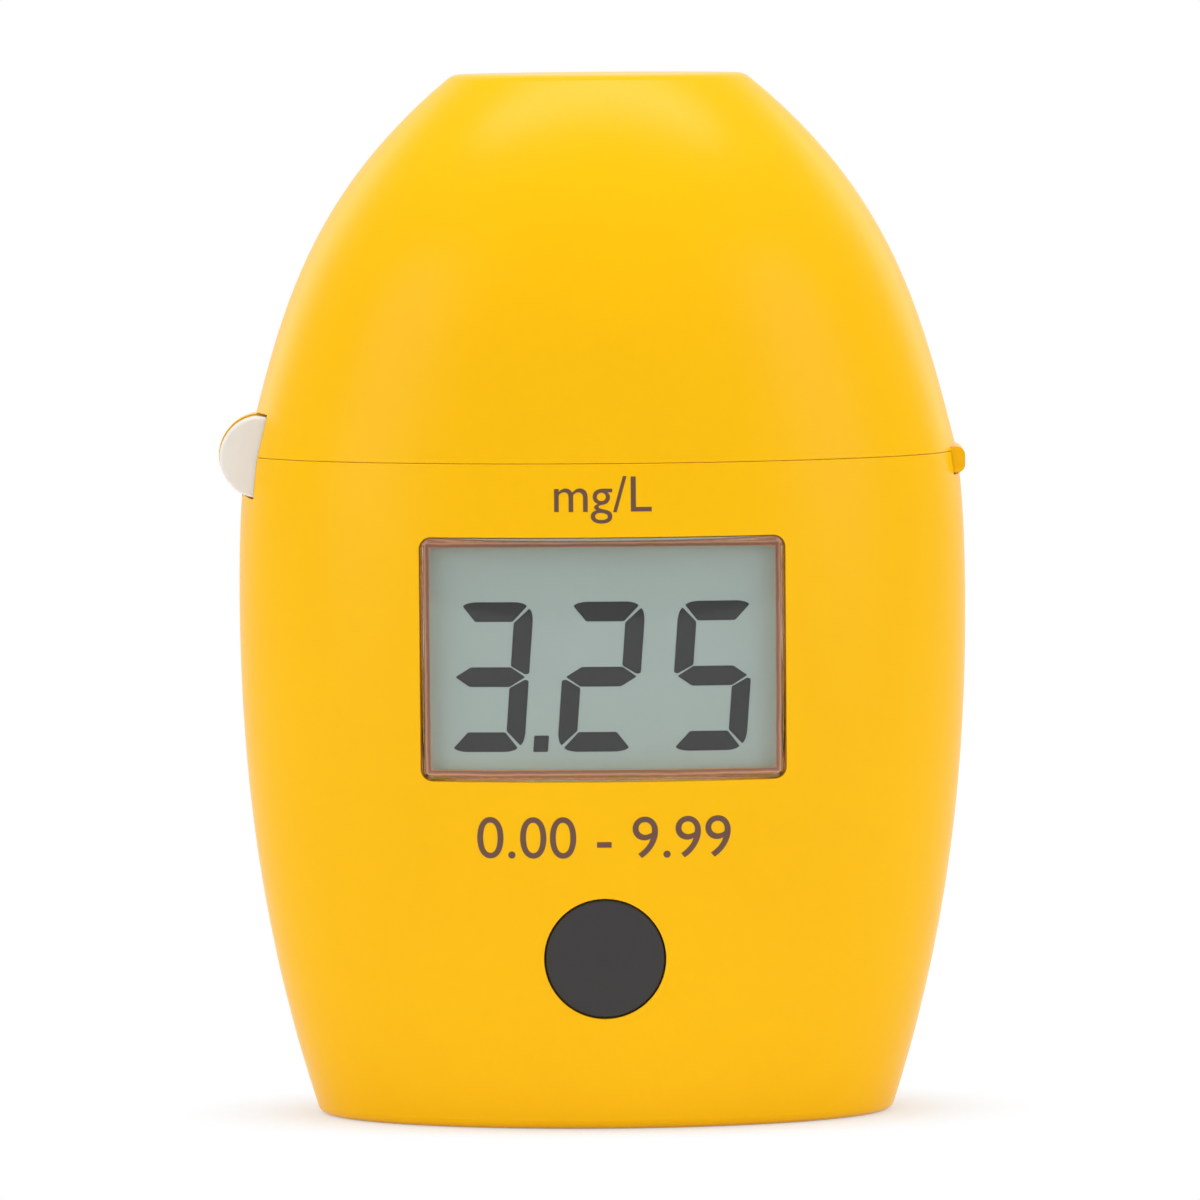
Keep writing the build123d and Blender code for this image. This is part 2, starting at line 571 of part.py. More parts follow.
def lead_pair(side, start):
    """Two leads from a holder to the circuit board, one outside the other."""
    leads = []
    for rank, y in enumerate((WELL_Y - LEAD_PITCH / 2, WELL_Y + LEAD_PITCH / 2)):
        out = PORT_REACH + HOLDER_WALL + DIODE_THICKNESS + LEAD_RUN + rank * LEAD_SPREAD
        board_x = LEAD_BOARD_X + rank * LEAD_PITCH
        turn_y = BOARD_BACK_Y + LEAD_STANDOFF - rank * LEAD_SPREAD
        points = [(start, y), (out, y), (out, turn_y + LEAD_SLOPE)]
        points += [(board_x, turn_y), (board_x, BOARD_BACK_Y)]
        leads.append(bent_wire(LEAD_RADIUS, LEAD_BEND, *[(side * x, y, LIGHT_Z) for x, y in points]))
    return Compound(children=leads)


def port_holder(side, depth):
    """Cup that closes a light port and holds the lamp or the detector in it."""
    inner = PORT_RADIUS + 0.05
    outer = inner + HOLDER_WALL
    x_in, x_out = side * (PORT_REACH - HOLDER_GRIP), side * (PORT_REACH + depth + HOLDER_WALL)
    cup = rod_x(outer, x_in, x_out, WELL_Y, LIGHT_Z)
    cup -= rod_x(inner, x_in - side, side * (PORT_REACH + depth), WELL_Y, LIGHT_Z)
    hole = LEAD_RADIUS + 0.3
    for offset in (-LEAD_PITCH / 2, LEAD_PITCH / 2):
        cup -= rod_x(hole, x_in, x_out + side, WELL_Y + offset, LIGHT_Z)
    return cup


def optical_filter():
    return rod_x(FILTER_RADIUS, PORT_REACH - FILTER_THICKNESS, PORT_REACH, WELL_Y, LIGHT_Z)


def photodiode():
    half = DIODE_SIZE / 2
    x0 = PORT_REACH + 0.05
    return box(x0, x0 + DIODE_THICKNESS, WELL_Y - half, WELL_Y + half, LIGHT_Z - half, LIGHT_Z + half)


# Display stack
def display_lens():
    """Clear plate let into the front: curved and flush in front, flat behind."""
    gap = LENS_CLEARANCE
    block = plate_y(
        WINDOW_WIDTH - 2 * gap, WINDOW_HEIGHT - 2 * gap, WINDOW_CORNER - gap, -BOX / 4, LENS_BACK_Y, WINDOW_Z
    )
    lens = block & body_egg(WINDOW_Z - WINDOW_HEIGHT, SEAM_Z - 1, LENS_RECESS)
    lens = fillet(lens.faces().sort_by(Axis.Y)[0].edges(), LENS_EDGE_ROUND)
    return chamfer(lens.faces().sort_by(Axis.Y)[-1].edges(), LENS_BACK_CHAMFER)


def window_bond():
    """Bead of adhesive on the ledge, all round the opening."""
    gap = LENS_CLEARANCE
    front_y = LENS_BACK_Y + BOND_SHRINK
    bead = plate_y(
        WINDOW_WIDTH - 2 * gap, WINDOW_HEIGHT - 2 * gap, WINDOW_CORNER - gap, front_y, LEDGE_FRONT_Y, WINDOW_Z
    )
    return bead - plate_y(VIEW_WIDTH, VIEW_HEIGHT, 0.4, LENS_BACK_Y - 1, 0, WINDOW_Z)


def lcd_panel():
    """Two glass plates; the rear one stands out below to carry the contacts."""
    glass = LCD_THICKNESS / 2
    front = plate_y(LCD_WIDTH, LCD_HEIGHT - 2.4, 0.2, LCD_FRONT_Y, LCD_FRONT_Y + glass, WINDOW_Z)
    rear = plate_y(LCD_WIDTH, LCD_HEIGHT, 0.2, LCD_FRONT_Y + glass, LCD_BACK_Y, WINDOW_Z)
    return front + rear


def lcd_frame():
    outer = plate_y(
        LCD_WIDTH + 2 * FRAME_RIM, LCD_HEIGHT + 2 * FRAME_RIM, 0.6, LCD_FRONT_Y, LCD_BACK_Y, WINDOW_Z
    )
    gap = 2 * PART_CLEARANCE
    return outer - plate_y(LCD_WIDTH + gap, LCD_HEIGHT + gap, 0.25, LCD_FRONT_Y - 1, LCD_BACK_Y + 1, WINDOW_Z)


def contact_strips():
    strips = []
    for side in (-1, 1):
        z = WINDOW_Z + side * (LCD_HEIGHT / 2 - STRIP_INSET)
        strips.append(plate_y(LCD_WIDTH - 3, STRIP_HEIGHT, 0.2, LCD_BACK_Y, BOARD_FRONT_Y, z))
    return Compound(children=strips)


def circuit_board():
    blank = box(-BOX, BOX, BOARD_FRONT_Y, BOARD_BACK_Y, BOARD_LOW_Z, BOARD_HIGH_Z)
    board = blank & body_egg(FLOOR, SEAM_Z - 1, WALL + BOARD_EDGE_GAP)
    for x, z in CASE_SCREW_PLACES:
        board -= rod_y(CASE_BOSS_RADIUS + 0.3, -BOX / 4, 0, x, z)
    for side in (-1, 1):
        hole = BOARD_SCREW_RADIUS + CLEARANCE_HOLE_GAP
        board -= rod_y(hole, -BOX / 4, 0, side * BOARD_SCREW_X, BOARD_SCREW_Z)
    return board


def board_chips():
    """Controller and small parts soldered to the board's back, below the well."""
    places = [(0.0, BUTTON_Z + CONTROLLER_RISE, CONTROLLER_SIZE, CONTROLLER_SIZE, CONTROLLER_THICKNESS)]
    for side in (-1, 1):
        places.append((side * CHIP_X, BUTTON_Z + CHIP_RISE, CHIP_WIDTH, CHIP_HEIGHT, CHIP_THICKNESS))
    for i in range(RESISTORS):
        x = RESISTOR_PITCH * (i - (RESISTORS - 1) / 2)
        places.append((x, BUTTON_Z - RESISTOR_DROP, RESISTOR_WIDTH, RESISTOR_HEIGHT, RESISTOR_THICKNESS))
    chips = []
    for x, z, width, height, thickness in places:
        back = BOARD_BACK_Y + thickness
        chips.append(box(x - width / 2, x + width / 2, BOARD_BACK_Y, back, z - height / 2, z + height / 2))
    return Compound(children=chips)


# Button with its plunger, and the switch on the board
def button_cap():
    face = body_egg(BUTTON_Z - 2 * BUTTON_RADIUS, BUTTON_Z + 2 * BUTTON_RADIUS, BUTTON_RECESS)
    cap = rod_y(BUTTON_RADIUS, -BOX / 4, BUTTON_BACK_Y, 0, BUTTON_Z) & face
    cap = fillet(cap.faces().sort_by(Axis.Y)[0].edges(), BUTTON_EDGE_ROUND)
    return cap + rod_y(BUTTON_FLANGE_RADIUS, BUTTON_FLANGE_Y, BUTTON_BACK_Y, 0, BUTTON_Z)


def button_plunger():
    tip = BOARD_FRONT_Y - SWITCH_HEIGHT + PLUNGER_ENTRY
    return rod_y(PLUNGER_RADIUS, BUTTON_BACK_Y, tip, 0, BUTTON_Z)


def key_switch():
    half = SWITCH_SIZE / 2
    top = BOARD_FRONT_Y - SWITCH_HEIGHT
    body = box(-half, half, top, BOARD_FRONT_Y, BUTTON_Z - half, BUTTON_Z + half)
    floor = top + PLUNGER_ENTRY + BUTTON_TRAVEL + 0.05
    return body - rod_y(PLUNGER_RADIUS + PLUNGER_GAP, top - 1, floor, 0, BUTTON_Z)


# Battery group
def battery():
    can_end = PLUS_PLATE_X - BATTERY_NUB_LENGTH
    can = rod_x(BATTERY_RADIUS, MINUS_END_X, can_end, BATTERY_Y, BATTERY_Z)
    can = fillet(can.edges().filter_by(GeomType.CIRCLE), 0.4)
    return can + rod_x(BATTERY_NUB_RADIUS, can_end - 0.1, PLUS_PLATE_X, BATTERY_Y, BATTERY_Z)


def contact_plate(x0, x1):
    half = CONTACT_WIDTH / 2
    low, high = BATTERY_Z - 2.6, BATTERY_Z + half
    plate = box(x0, x1, BATTERY_Y - half, BATTERY_Y + half, low, high)
    return plate + box(x0, x1, BATTERY_Y - 1.0, BATTERY_Y + 1.0, high, high + CONTACT_TAIL)


def contact_plus():
    return contact_plate(PLUS_PLATE_X, PLUS_PLATE_X + CONTACT_THICKNESS)


def contact_minus():
    """Plate with a bowed leaf that presses on the battery's flat end."""
    end = MINUS_END_X
    x1 = end - LEAF_BOW
    span = 2.3
    radius = (span ** 2 + LEAF_BOW ** 2) / (2 * LEAF_BOW)
    ring = rod_y(radius, BATTERY_Y - 1.5, BATTERY_Y + 1.5, end - radius, BATTERY_Z)
    ring -= rod_y(radius - CONTACT_THICKNESS, BATTERY_Y - 3, BATTERY_Y + 3, end - radius, BATTERY_Z)
    leaf = ring & box(x1 - 0.15, end + 1, -BOX, BOX, BATTERY_Z - 4, BATTERY_Z + 4)
    return contact_plate(x1 - CONTACT_THICKNESS, x1) + leaf


def battery_tray():
    half = BATTERY_RADIUS + TRAY_CLEARANCE + TRAY_WALL
    low, high = FLOOR + COVER_STEP + 0.6, BATTERY_Z + half
    tray = box(-BOX, BOX, BATTERY_Y - half, BATTERY_Y + half, low, high)
    tray = tray & body_egg(FLOOR, SEAM_Z - 1, WALL + TRAY_SHELL_GAP)
    inner = BATTERY_RADIUS + TRAY_CLEARANCE
    left = MINUS_END_X - LEAF_BOW - CONTACT_THICKNESS
    right = PLUS_PLATE_X + CONTACT_THICKNESS
    tray -= rod_x(inner, left, right, BATTERY_Y, BATTERY_Z)
    tray -= box(left, right, BATTERY_Y - inner, BATTERY_Y + inner, 0, BATTERY_Z)
    slot = 1.2
    for x0, x1 in ((left, left + CONTACT_THICKNESS + 0.1), (right - CONTACT_THICKNESS - 0.1, right)):
        tray -= box(x0, x1, BATTERY_Y - slot, BATTERY_Y + slot, BATTERY_Z, BOX)
    return tray


def battery_wires():
    """Insulated wires from the contacts' tails, over the tray, to the circuit board."""
    z = BATTERY_Z + CONTACT_WIDTH / 2 + CONTACT_TAIL
    wires = []
    for side, start in ((-1, PLUS_PLATE_X), (1, PLUS_PLATE_X)):
        points = [(start, BATTERY_Y), (WIRE_BOARD_X, BATTERY_Y), (WIRE_BOARD_X, BOARD_BACK_Y)]
        wires.append(bent_wire(WIRE_RADIUS, WIRE_BEND, *[(side * x, y, z) for x, y in points]))
    return Compound(children=wires)


# Base cover group
def battery_cover():
    plate = slab(COVER_HALF_WIDTH, COVER_HALF_DEPTH, 0, COVER_PLATE)
    plug = slab(
        COVER_HALF_WIDTH - COVER_STEP, COVER_HALF_DEPTH - COVER_STEP, COVER_PLATE, COVER_PLATE + COVER_PLUG
    )
    cover = plate + plug
    cover -= rod_z(COVER_SCREW_RADIUS + CLEARANCE_HOLE_GAP, -1, BOX, 0, COVER_SCREW_Y)
    seat = COVER_SCREW_HEAD + 0.2
    return cover - rod_z(COVER_SCREW_HEAD_RADIUS + 0.2, -1, seat, 0, COVER_SCREW_Y)


def cover_screw():
    screw = pan_screw(
        COVER_SCREW_RADIUS, COVER_SCREW_LENGTH, COVER_SCREW_HEAD_RADIUS, COVER_SCREW_HEAD
    )
    return Pos(0, COVER_SCREW_Y, COVER_SCREW_HEAD + 0.2) * Rot(180, 0, 0) * screw


def cover_insert():
    radius = COVER_SCREW_RADIUS + SCREW_GAP
    low = FLOOR + 0.55
    sleeve = rod_z(radius + INSERT_WALL, low, low + INSERT_LENGTH, 0, COVER_SCREW_Y)
    return sleeve - rod_z(radius, 0, BOX, 0, COVER_SCREW_Y)


def battery_pad():
    low, high = COVER_PLATE + COVER_PLUG, BATTERY_Z - BATTERY_RADIUS - 0.05
    half_x, half_y = PAD_LENGTH / 2, PAD_WIDTH / 2
    return box(-half_x, half_x, BATTERY_Y - half_y, BATTERY_Y + half_y, low, high)


# Fasteners
def case_screws():
    screws = []
    length = CASE_SCREW_SEAT_Y + CASE_SCREW_BITE
    for x, z in CASE_SCREW_PLACES:
        screw = pan_screw(CASE_SCREW_RADIUS, length, CASE_SCREW_HEAD_RADIUS, CASE_SCREW_HEAD)
        screws.append(Pos(x, CASE_SCREW_SEAT_Y, z) * Rot(-90, 0, 0) * screw)
    return Compound(children=screws)


def board_screws():
    screws = []
    length = BOARD_THICKNESS + BOARD_SCREW_BITE
    for side in (-1, 1):
        screw = pan_screw(BOARD_SCREW_RADIUS, length, BOARD_SCREW_HEAD_RADIUS, BOARD_SCREW_HEAD)
        place = Pos(side * BOARD_SCREW_X, BOARD_BACK_Y, BOARD_SCREW_Z)
        screws.append(place * Rot(-90, 0, 0) * screw)
    return Compound(children=screws)


def main():
    shell = housing_shell()
    parts = {
        "front_shell": front_shell(shell),
        "rear_shell": rear_shell(shell),
        "inner_deck": inner_deck(),
        "hinge_pin": hinge_pin(),
        "lid_shell": lid_shell(),
        "lid_liner": lid_liner(),
        "cuvette_well": cuvette_well(),
        "light_seal": light_seal(),
        "cuvette_glass": cuvette_glass(),
        "cuvette_cap": cuvette_cap(),
        "cap_liner": cap_liner(),
        "led_lamp": led_lamp(),
        "led_leads": lead_pair(-1, PORT_REACH + LAMP_RIM_THICKNESS),
        "led_holder": port_holder(-1, LAMP_RIM_THICKNESS + 0.05),
        "optical_filter": optical_filter(),
        "photodiode": photodiode(),
        "photodiode_leads": lead_pair(1, PORT_REACH + 0.05 + DIODE_THICKNESS),
        "detector_holder": port_holder(1, DIODE_THICKNESS + 0.1),
        "display_lens": display_lens(),
        "window_bond": window_bond(),
        "lcd_panel": lcd_panel(),
        "lcd_frame": lcd_frame(),
        "contact_strips": contact_strips(),
        "circuit_board": circuit_board(),
        "board_chips": board_chips(),
        "key_switch": key_switch(),
        "button_cap": button_cap(),
        "button_plunger": button_plunger(),
        "battery": battery(),
        "battery_tray": battery_tray(),
        "battery_wires": battery_wires(),
        "contact_plus": contact_plus(),
        "contact_minus": contact_minus(),
        "battery_cover": battery_cover(),
        "battery_pad": battery_pad(),
        "cover_screw": cover_screw(),
        "cover_insert": cover_insert(),
        "case_screws": case_screws(),
        "board_screws": board_screws(),
    }
    os.makedirs("parts", exist_ok=True)
    for name, shape in parts.items():
        export_step(shape, f"parts/{name}.step")


main()
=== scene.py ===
import math

import bmesh
import bpy
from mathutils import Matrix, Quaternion, Vector
from mathutils.bvhtree import BVHTree


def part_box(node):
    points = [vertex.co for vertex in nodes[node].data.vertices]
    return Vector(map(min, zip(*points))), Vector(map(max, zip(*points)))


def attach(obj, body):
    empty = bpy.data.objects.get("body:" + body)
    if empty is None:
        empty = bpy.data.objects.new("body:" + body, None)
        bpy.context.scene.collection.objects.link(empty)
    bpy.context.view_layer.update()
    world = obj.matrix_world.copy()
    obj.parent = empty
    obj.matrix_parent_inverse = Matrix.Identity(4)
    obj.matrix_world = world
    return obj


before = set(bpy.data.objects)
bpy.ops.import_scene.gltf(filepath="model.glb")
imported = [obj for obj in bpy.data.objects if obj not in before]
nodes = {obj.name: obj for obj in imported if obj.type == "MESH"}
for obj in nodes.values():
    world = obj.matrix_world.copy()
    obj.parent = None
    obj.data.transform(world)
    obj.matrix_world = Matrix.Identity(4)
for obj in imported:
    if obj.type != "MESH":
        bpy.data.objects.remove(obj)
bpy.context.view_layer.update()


# Housing halves
# Two injection-moulded shells of glossy yellow plastic, a front half and a rear half.
# A tongue in the rear half enters the front half, and four screws from the rear clamp them.
MM = 0.001
CASE_YELLOW = (255, 193, 0)
EDGE_BEGINS = 0.995      # cosine between the true and the rounded normal
EDGE_FULL = 0.85
PATCH_BEGINS = 0.35
PATCH_FULL = 0.7
FLOW_DARK = 0.96
FLOW_LIGHT = 1.02
EDGE_PALENESS = 0.4
GLOSS_GAIN = 0.03        # rubbed patches are this much smoother, or rougher
GLOSS_LOSS = 0.05
FLOAT = "NodeSocketFloat"
VECTOR = "NodeSocketVector"


def linear(red, green, blue):
    """Scene-linear colour of an 8-bit screen colour."""
    shares = [value / 255 for value in (red, green, blue)]
    bent = [s / 12.92 if s <= 0.04045 else ((s + 0.055) / 1.055) ** 2.4 for s in shares]
    return (*bent, 1.0)


def add_node(tree, kind, inputs=None, **settings):
    """Adds a shader node, sets its properties, and sets or links its inputs."""
    made = tree.nodes.new("ShaderNode" + kind)
    for name, value in settings.items():
        setattr(made, name, value)
    for name, value in (inputs or {}).items():
        if isinstance(value, bpy.types.NodeSocket):
            tree.links.new(value, made.inputs[name])
        else:
            made.inputs[name].default_value = value
    return made


def new_group(name, inputs, outputs):
    """Starts a shader node group with named number inputs and typed outputs."""
    tree = bpy.data.node_groups.new(name, "ShaderNodeTree")
    for label, value in inputs.items():
        socket = tree.interface.new_socket(name=label, in_out="INPUT", socket_type=FLOAT)
        socket.default_value = value
    for label, kind in outputs.items():
        tree.interface.new_socket(name=label, in_out="OUTPUT", socket_type=kind)
    given = tree.nodes.new("NodeGroupInput")
    result = tree.nodes.new("NodeGroupOutput")
    return tree, given.outputs, result.inputs


def noise_at(tree, place, size, detail=2.0):
    """Noise whose blobs are about size millimetres across, as a number from 0 to 1."""
    scale = add_node(tree, "Math", {0: 1000.0, 1: size}, operation="DIVIDE").outputs[0]
    return add_node(tree, "TexNoise", {"Vector": place, "Scale": scale, "Detail": detail}).outputs[0]


def moulded_skin_group():
    """Faint flow marks, fine spark texture and handling marks of a moulded surface."""
    sizes = {"Grain Size": 0.15, "Flow Size": 14.0, "Rub Size": 2.5}
    tree, given, result = new_group("Moulded skin", sizes, {"Tone": FLOAT, "Grain": FLOAT, "Rub": FLOAT})
    place = add_node(tree, "TexCoord").outputs["Object"]
    tone = noise_at(tree, place, given["Flow Size"])
    grain = noise_at(tree, place, given["Grain Size"], 4.0)
    rub = noise_at(tree, place, given["Rub Size"], 5.0)
    tree.links.new(tone, result["Tone"])
    tree.links.new(grain, result["Grain"])
    tree.links.new(rub, result["Rub"])
    return tree


def edge_wear_and_highlight_group():
    """Mask that is white along sharp edges, broken up a little, for edge wear and a painted edge highlight,
    and the rounded normal there.
    """
    outputs = {"Edge": FLOAT, "Rounded": VECTOR}
    tree, given, result = new_group("Edge wear and highlight", {"Width": 0.15, "Break Size": 1.2}, outputs)
    width = add_node(tree, "Math", {0: given["Width"], 1: MM}, operation="MULTIPLY").outputs[0]
    rounded = add_node(tree, "Bevel", {"Radius": width}, samples=6).outputs[0]
    true = add_node(tree, "NewGeometry").outputs["Normal"]
    alike = add_node(tree, "VectorMath", {0: rounded, 1: true}, operation="DOT_PRODUCT").outputs["Value"]
    bent = {"Value": alike, "From Min": EDGE_BEGINS, "From Max": EDGE_FULL}
    edge = add_node(tree, "MapRange", bent).outputs[0]
    place = add_node(tree, "TexCoord").outputs["Object"]
    broken = noise_at(tree, place, given["Break Size"], 3.0)
    patches = {"Value": broken, "From Min": PATCH_BEGINS, "From Max": PATCH_FULL}
    patchy = add_node(tree, "MapRange", patches).outputs[0]
    mask = add_node(tree, "Math", {0: edge, 1: patchy}, operation="MULTIPLY").outputs[0]
    tree.links.new(mask, result["Edge"])
    tree.links.new(rounded, result["Rounded"])
    return tree


MOULDED_SKIN = moulded_skin_group()
EDGE_WEAR_AND_HIGHLIGHT = edge_wear_and_highlight_group()


def place_group(tree, group, **inputs):
    """Places a node group and sets its inputs, named with underscores for spaces."""
    made = tree.nodes.new("ShaderNodeGroup")
    made.node_tree = group
    for name, value in inputs.items():
        made.inputs[name.replace("_", " ")].default_value = value
    return made.outputs


def new_material(name, **constants):
    """Starts a material and sets constants on its shader, named with underscores for spaces."""
    material = bpy.data.materials.new(name)
    material.use_nodes = True
    shader = material.node_tree.nodes["Principled BSDF"]
    for label, value in constants.items():
        shader.inputs[label.replace("_", " ")].default_value = value
    return material, material.node_tree, shader


def mix_colours(tree, share, first, second):
    """Blends two colours by a share, each a socket or a constant."""
    mixed = add_node(tree, "Mix", data_type="RGBA")
    for socket, value in ((mixed.inputs[0], share), (mixed.inputs[6], first), (mixed.inputs[7], second)):
        if isinstance(value, bpy.types.NodeSocket):
            tree.links.new(value, socket)
        else:
            socket.default_value = value
    return mixed.outputs[2]


def scaled(colour, factor):
    """The same colour, darker or lighter."""
    return tuple(min(1.0, value * factor) for value in colour[:3]) + (1.0,)


def moulded_plastic(name, screen_colour, roughness, grain=0.15, depth=0.004, edge_wear_and_highlight=0.25, **constants):
    """Moulded plastic: faint flow marks, fine grain, rubbed patches, and slightly paler edges that are partly
    wear and partly a painted highlight.
    """
    material, tree, shader = new_material(name, **constants)
    base = linear(*screen_colour)
    skin = place_group(tree, MOULDED_SKIN, Grain_Size=grain)
    edge = place_group(tree, EDGE_WEAR_AND_HIGHLIGHT)
    flow = mix_colours(tree, skin["Tone"], scaled(base, FLOW_DARK), scaled(base, FLOW_LIGHT))
    # Paler along sharp edges: partly wear, partly a painted highlight where the edges catch light.
    worn_and_lit = add_node(tree, "Math", {0: edge["Edge"], 1: edge_wear_and_highlight}, operation="MULTIPLY").outputs[0]
    pale = tuple((1 - EDGE_PALENESS) * value + EDGE_PALENESS for value in base[:3]) + (1.0,)
    tree.links.new(mix_colours(tree, worn_and_lit, flow, pale), shader.inputs["Base Color"])
    gloss = {"Value": skin["Rub"], "To Min": roughness - GLOSS_GAIN, "To Max": roughness + GLOSS_LOSS}
    tree.links.new(add_node(tree, "MapRange", gloss).outputs[0], shader.inputs["Roughness"])
    relief = {"Height": skin["Grain"], "Distance": depth * MM, "Normal": edge["Rounded"], "Strength": 1.0}
    tree.links.new(add_node(tree, "Bump", relief).outputs[0], shader.inputs["Normal"])
    return material


def paint(material, *names):
    """Gives CAD nodes a material, by their names."""
    for name in names:
        for slot in nodes[name].material_slots:
            slot.material = material


case_plastic = moulded_plastic("case plastic", CASE_YELLOW, 0.29, edge_wear_and_highlight=0.1, Specular_IOR_Level=0.14)
paint(case_plastic, "front_shell", "rear_shell")


# Print on the front half
# Brown pad print, a few hundredths of a millimetre thick, that lies on the curved shell:
# the unit above the window and the measuring range below it.
PRINT_BROWN = (104, 68, 52)
UNIT_WORDS = "mg/L"
UNIT_CAP_HEIGHT = 3.0 * MM
UNIT_Z = 52.3 * MM
RANGE_WORDS = "0.00 - 9.99"
RANGE_CAP_HEIGHT = 3.5 * MM
RANGE_Z = 24.3 * MM
PRINT_LIFT = 0.02 * MM
PRINT_THICKNESS = 0.03 * MM
PRINT_STEP = 0.6 * MM
CAPITAL_SHARE = 0.72     # height of a capital over the size of the typeface
IN_FRONT = -0.05         # a place in front of the whole object


def keep_piece(name, mesh, material, body):
    """Links a finished mesh as a piece that rides on a body."""
    piece = bpy.data.objects.new(name, mesh)
    bpy.context.scene.collection.objects.link(piece)
    mesh.materials.append(material)
    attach(piece, body)
    return piece


def front_of(name):
    """Function that gives the front surface of a CAD node at x and z."""
    mesh = nodes[name].data
    corners = [vertex.co.copy() for vertex in mesh.vertices]
    faces = [list(polygon.vertices) for polygon in mesh.polygons]
    surface = BVHTree.FromPolygons(corners, faces)

    def front(x, z):
        return surface.ray_cast(Vector((x, IN_FRONT, z)), Vector((0, 1, 0)))[0].y

    return front


def flat_words(words, cap_height):
    """Mesh of words in the XZ plane, centred, with capitals of the given height."""
    curve = bpy.data.curves.new("words", "FONT")
    curve.body = words
    curve.align_x = "CENTER"
    carrier = bpy.data.objects.new("words", curve)
    bpy.context.scene.collection.objects.link(carrier)
    bpy.context.view_layer.update()
    mesh = bpy.data.meshes.new_from_object(carrier)
    bpy.data.objects.remove(carrier)
    flat = bmesh.new()
    flat.from_mesh(mesh)
    for vertex in flat.verts:
        x, y = vertex.co.x, vertex.co.y - CAPITAL_SHARE / 2
        vertex.co = Vector((x, 0, y)) * (cap_height / CAPITAL_SHARE)
    bmesh.ops.remove_doubles(flat, verts=flat.verts, dist=1e-6)
    return flat


def lay_print(name, words, cap_height, centre_z, material):
    """Cuts words into narrow strips, lays them on the front shell and gives them thickness."""
    flat = flat_words(words, cap_height)
    reach = max(vertex.co.x for vertex in flat.verts)
    for i in range(-int(reach / PRINT_STEP), int(reach / PRINT_STEP) + 1):
        parts = flat.verts[:] + flat.edges[:] + flat.faces[:]
        bmesh.ops.bisect_plane(flat, geom=parts, plane_co=(i * PRINT_STEP, 0, 0), plane_no=(1, 0, 0))
    front = front_of("front_shell")
    for vertex in flat.verts:
        z = vertex.co.z + centre_z
        vertex.co = Vector((vertex.co.x, front(vertex.co.x, z) - PRINT_LIFT, z))
    bmesh.ops.recalc_face_normals(flat, faces=flat.faces)
    bmesh.ops.solidify(flat, geom=flat.faces[:], thickness=PRINT_THICKNESS)
    mesh = bpy.data.meshes.new(name)
    flat.to_mesh(mesh)
    return keep_piece(name, mesh, material, "housing")


def toned_surface(name, screen_colour, low, high, flow, grain=0.2, depth=0.0, **constants):
    """Print or insulation of one colour that drifts a little, with a fine grain if it has a depth."""
    material, tree, shader = new_material(name, **constants)
    base = linear(*screen_colour)
    skin = place_group(tree, MOULDED_SKIN, Grain_Size=grain, Flow_Size=flow)
    tone = mix_colours(tree, skin["Tone"], scaled(base, low), scaled(base, high))
    tree.links.new(tone, shader.inputs["Base Color"])
    if depth:
        relief = {"Height": skin["Grain"], "Distance": depth * MM}
        tree.links.new(add_node(tree, "Bump", relief).outputs[0], shader.inputs["Normal"])
    return material


ink = toned_surface("print ink", PRINT_BROWN, 0.85, 1.15, flow=3.0, Roughness=0.42)
lay_print("unit_print", UNIT_WORDS, UNIT_CAP_HEIGHT, UNIT_Z, ink)
lay_print("range_print", RANGE_WORDS, RANGE_CAP_HEIGHT, RANGE_Z, ink)


# Display window
# A thick plate of clear acrylic let into the front shell, flush in front and flat behind.
# A bead of amber adhesive holds its rim on the ledge round the opening; its brown and amber bands are painted
# shade and light of the narrow pocket seen through the lens.
ADHESIVE_AMBER = (222, 138, 78)
# darker brown: painted shade of the narrow pocket behind the lens
BEAD_PAINTED_SHADE = (146, 86, 52)
ADHESIVE_GLINT = (236, 196, 160)
BEAD_BAND = 0.42 * MM
BEAD_WANDER = 4.0
BEAD_GLINT_BEGINS = 0.75
BEAD_GLINT_MOST = 0.6
ACRYLIC_TINT = (0.96, 0.97, 0.95, 1.0)
ACRYLIC_PASSES = (0.93, 0.93, 0.91, 1.0)


def clear_piece(name, roughness, ior, flow, tint, passing):
    """Clear plastic or glass with a faint tint, that lets the lamps' light through."""
    material, tree, shader = new_material(
        name, Roughness=roughness, IOR=ior, Metallic=0.0, Transmission_Weight=1.0
    )
    skin = place_group(tree, MOULDED_SKIN, Flow_Size=flow)
    clear = mix_colours(tree, skin["Tone"], tint, (1.0, 1.0, 1.0, 1.0))
    tree.links.new(clear, shader.inputs["Base Color"])
    through = add_node(tree, "BsdfTransparent", {"Color": passing})
    ray = add_node(tree, "LightPath").outputs["Is Shadow Ray"]
    mixed = add_node(tree, "MixShader", {0: ray, 1: shader.outputs[0], 2: through.outputs[0]})
    tree.links.new(mixed.outputs[0], tree.nodes["Material Output"].inputs["Surface"])
    return material


